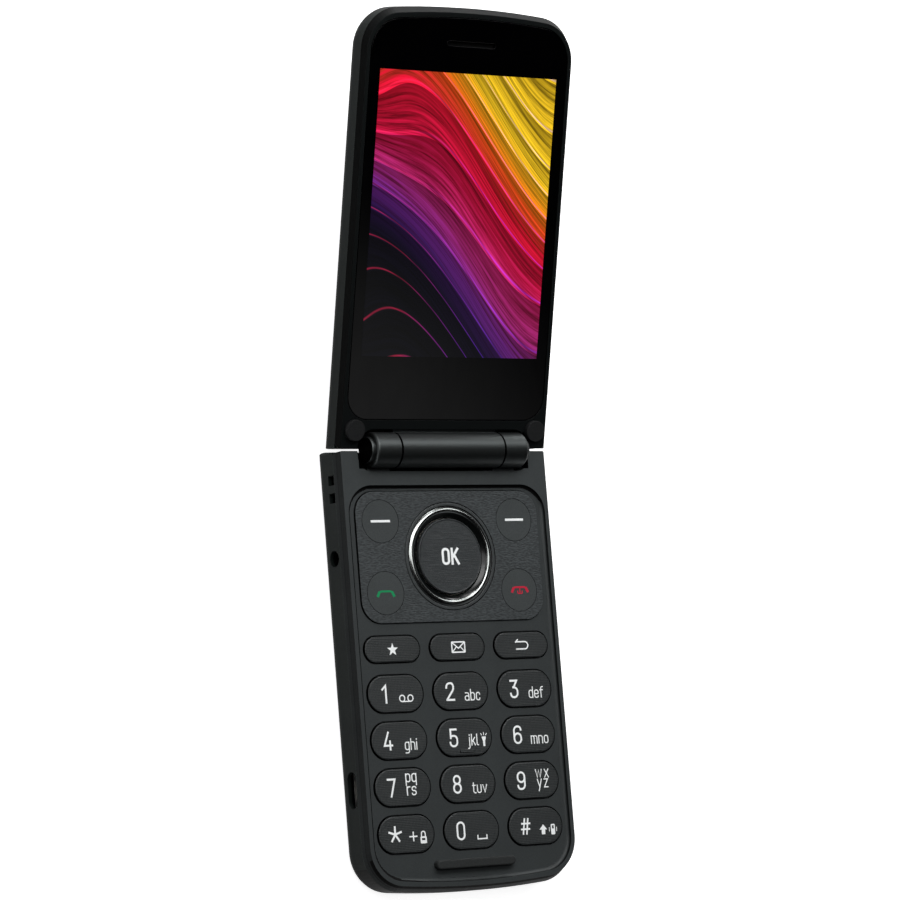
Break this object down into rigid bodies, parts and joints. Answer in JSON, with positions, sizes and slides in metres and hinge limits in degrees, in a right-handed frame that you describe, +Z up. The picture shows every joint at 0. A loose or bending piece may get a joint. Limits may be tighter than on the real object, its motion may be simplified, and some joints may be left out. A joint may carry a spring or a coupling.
{
  "type": "flip phone",
  "caption": "Folding mobile phone, lying open on its back: a lid with a tall display hinged on a round barrel to a base with a sunk keypad, navigation ring and pill-shaped keys.",
  "frame": {"origin": "on the base's flat back, midway along its length from the hinge axis to its far end, on the middle plane", "axes": "+Z up out of the keypad, +Y from the keypad towards the hinge and the lid, +X towards the side with the volume rocker"},
  "size_m": [0.0551, 0.1878, 0.0335],
  "materials": {
    "antenna_metal": "plated strip",
    "battery_wrap": "wrapped cell",
    "bumper_rubber": "soft matte",
    "carrier_steel": "spring steel",
    "circuit_board": "solder mask",
    "display_black": "smooth",
    "dome_film": "clear film",
    "flex_film": "amber film",
    "front_plastic": "fine matte moulded, almost black",
    "hinge_steel": "ground",
    "key_plastic": "matte with a fine dot grain",
    "lens_gloss": "clear hard coat over black print",
    "magnet_metal": "nickel plated",
    "mat_rubber": "soft matte",
    "moulding_black": "moulded",
    "nav_plastic": "matte with a fine grain",
    "ok_plastic": "fine brushed grain",
    "ring_plastic": "satin with a bright ridge",
    "screw_steel": "zinc plated",
    "shell_plastic": "fine matte moulded, almost black",
    "tinned_steel": "tinned"
  },
  "bodies": {
    "base": {"base_front_housing": "front_plastic", "base_rear_housing": "shell_plastic", "battery_cover": "shell_plastic", "battery": "battery_wrap", "battery_connector": "moulding_black", "main_board": "circuit_board", "shield_cans": "tinned_steel", "card_reader": "tinned_steel", "keypad_mat": "mat_rubber", "dome_sheet": "dome_film", "nav_plate": "nav_plastic", "charge_port": "tinned_steel", "headphone_jack": "moulding_black", "loudspeaker": "moulding_black", "microphone": "tinned_steel", "vibration_motor": "tinned_steel", "antenna": "antenna_metal", "base_screws": "screw_steel", "bumper_bar": "bumper_rubber", "hinge_end_caps": "front_plastic", "hinge_cam_shaft": "hinge_steel", "hinge_bush_pin": "hinge_steel"},
    "lid": {"lid_inner_housing": "front_plastic", "lid_outer_cover": "shell_plastic", "display_lens": "lens_gloss", "display_module": "display_black", "lid_board": "circuit_board", "earpiece": "moulding_black", "lid_magnet": "magnet_metal", "lid_bumpers": "bumper_rubber", "lid_screws": "screw_steel", "outer_lens": "lens_gloss", "outer_display": "display_black", "camera_module": "moulding_black", "hinge_cartridge": "hinge_steel", "hinge_spring": "hinge_steel", "hinge_flex": "flex_film"},
    "key_1": {"key_1": "key_plastic"},
    "key_2": {"key_2": "key_plastic"},
    "key_3": {"key_3": "key_plastic"},
    "key_4": {"key_4": "key_plastic"},
    "key_5": {"key_5": "key_plastic"},
    "key_6": {"key_6": "key_plastic"},
    "key_7": {"key_7": "key_plastic"},
    "key_8": {"key_8": "key_plastic"},
    "key_9": {"key_9": "key_plastic"},
    "key_star": {"key_star": "key_plastic"},
    "key_0": {"key_0": "key_plastic"},
    "key_hash": {"key_hash": "key_plastic"},
    "favourite_key": {"favourite_key": "key_plastic"},
    "message_key": {"message_key": "key_plastic"},
    "back_key": {"back_key": "key_plastic"},
    "soft_key_left": {"soft_key_left": "nav_plastic"},
    "soft_key_right": {"soft_key_right": "nav_plastic"},
    "call_key": {"call_key": "nav_plastic"},
    "end_key": {"end_key": "nav_plastic"},
    "ok_key": {"ok_key": "ok_plastic"},
    "nav_carrier": {"nav_carrier": "carrier_steel"},
    "nav_ring": {"nav_ring": "ring_plastic"},
    "volume_rocker": {"volume_rocker": "shell_plastic"}
  },
  "joints": [
    {"name": "lid_hinge", "type": "hinge", "parent": "base", "child": "lid", "pos_m": [0, 0.04735, 0.0097], "axis": [1, 0, 0], "range_deg": [0, 165]},
    {"name": "key_1_press", "type": "slide", "parent": "base", "child": "key_1", "axis": [0, 0, -1], "range_m": [0, 0.00035], "stiffness_N_per_m": 1500},
    {"name": "key_2_press", "type": "slide", "parent": "base", "child": "key_2", "axis": [0, 0, -1], "range_m": [0, 0.00035], "stiffness_N_per_m": 1500},
    {"name": "key_3_press", "type": "slide", "parent": "base", "child": "key_3", "axis": [0, 0, -1], "range_m": [0, 0.00035], "stiffness_N_per_m": 1500},
    {"name": "key_4_press", "type": "slide", "parent": "base", "child": "key_4", "axis": [0, 0, -1], "range_m": [0, 0.00035], "stiffness_N_per_m": 1500},
    {"name": "key_5_press", "type": "slide", "parent": "base", "child": "key_5", "axis": [0, 0, -1], "range_m": [0, 0.00035], "stiffness_N_per_m": 1500},
    {"name": "key_6_press", "type": "slide", "parent": "base", "child": "key_6", "axis": [0, 0, -1], "range_m": [0, 0.00035], "stiffness_N_per_m": 1500},
    {"name": "key_7_press", "type": "slide", "parent": "base", "child": "key_7", "axis": [0, 0, -1], "range_m": [0, 0.00035], "stiffness_N_per_m": 1500},
    {"name": "key_8_press", "type": "slide", "parent": "base", "child": "key_8", "axis": [0, 0, -1], "range_m": [0, 0.00035], "stiffness_N_per_m": 1500},
    {"name": "key_9_press", "type": "slide", "parent": "base", "child": "key_9", "axis": [0, 0, -1], "range_m": [0, 0.00035], "stiffness_N_per_m": 1500},
    {"name": "key_star_press", "type": "slide", "parent": "base", "child": "key_star", "axis": [0, 0, -1], "range_m": [0, 0.00035], "stiffness_N_per_m": 1500},
    {"name": "key_0_press", "type": "slide", "parent": "base", "child": "key_0", "axis": [0, 0, -1], "range_m": [0, 0.00035], "stiffness_N_per_m": 1500},
    {"name": "key_hash_press", "type": "slide", "parent": "base", "child": "key_hash", "axis": [0, 0, -1], "range_m": [0, 0.00035], "stiffness_N_per_m": 1500},
    {"name": "favourite_key_press", "type": "slide", "parent": "base", "child": "favourite_key", "axis": [0, 0, -1], "range_m": [0, 0.00035], "stiffness_N_per_m": 1500},
    {"name": "message_key_press", "type": "slide", "parent": "base", "child": "message_key", "axis": [0, 0, -1], "range_m": [0, 0.00035], "stiffness_N_per_m": 1500},
    {"name": "back_key_press", "type": "slide", "parent": "base", "child": "back_key", "axis": [0, 0, -1], "range_m": [0, 0.00035], "stiffness_N_per_m": 1500},
    {"name": "soft_key_left_press", "type": "slide", "parent": "base", "child": "soft_key_left", "axis": [0, 0, -1], "range_m": [0, 0.00035], "stiffness_N_per_m": 1500},
    {"name": "soft_key_right_press", "type": "slide", "parent": "base", "child": "soft_key_right", "axis": [0, 0, -1], "range_m": [0, 0.00035], "stiffness_N_per_m": 1500},
    {"name": "call_key_press", "type": "slide", "parent": "base", "child": "call_key", "axis": [0, 0, -1], "range_m": [0, 0.00035], "stiffness_N_per_m": 1500},
    {"name": "end_key_press", "type": "slide", "parent": "base", "child": "end_key", "axis": [0, 0, -1], "range_m": [0, 0.00035], "stiffness_N_per_m": 1500},
    {"name": "ok_key_press", "type": "slide", "parent": "base", "child": "ok_key", "axis": [0, 0, -1], "range_m": [0, 0.00035], "stiffness_N_per_m": 1500},
    {"name": "nav_carrier_tilt", "type": "hinge", "parent": "base", "child": "nav_carrier", "pos_m": [0, 0.02445, 0.0068], "axis": [0, 1, 0], "range_deg": [-1, 1], "stiffness_Nm_per_rad": 0.3},
    {"name": "nav_ring_tilt", "type": "hinge", "parent": "nav_carrier", "child": "nav_ring", "pos_m": [0, 0.02445, 0.0068], "axis": [1, 0, 0], "range_deg": [-1, 1], "stiffness_Nm_per_rad": 0.3},
    {"name": "volume_rocker_tilt", "type": "hinge", "parent": "base", "child": "volume_rocker", "pos_m": [0.02525, 0.02035, 0.0045], "axis": [0, 0, 1], "range_deg": [-1.5, 1.5], "stiffness_Nm_per_rad": 0.3}
  ]
}
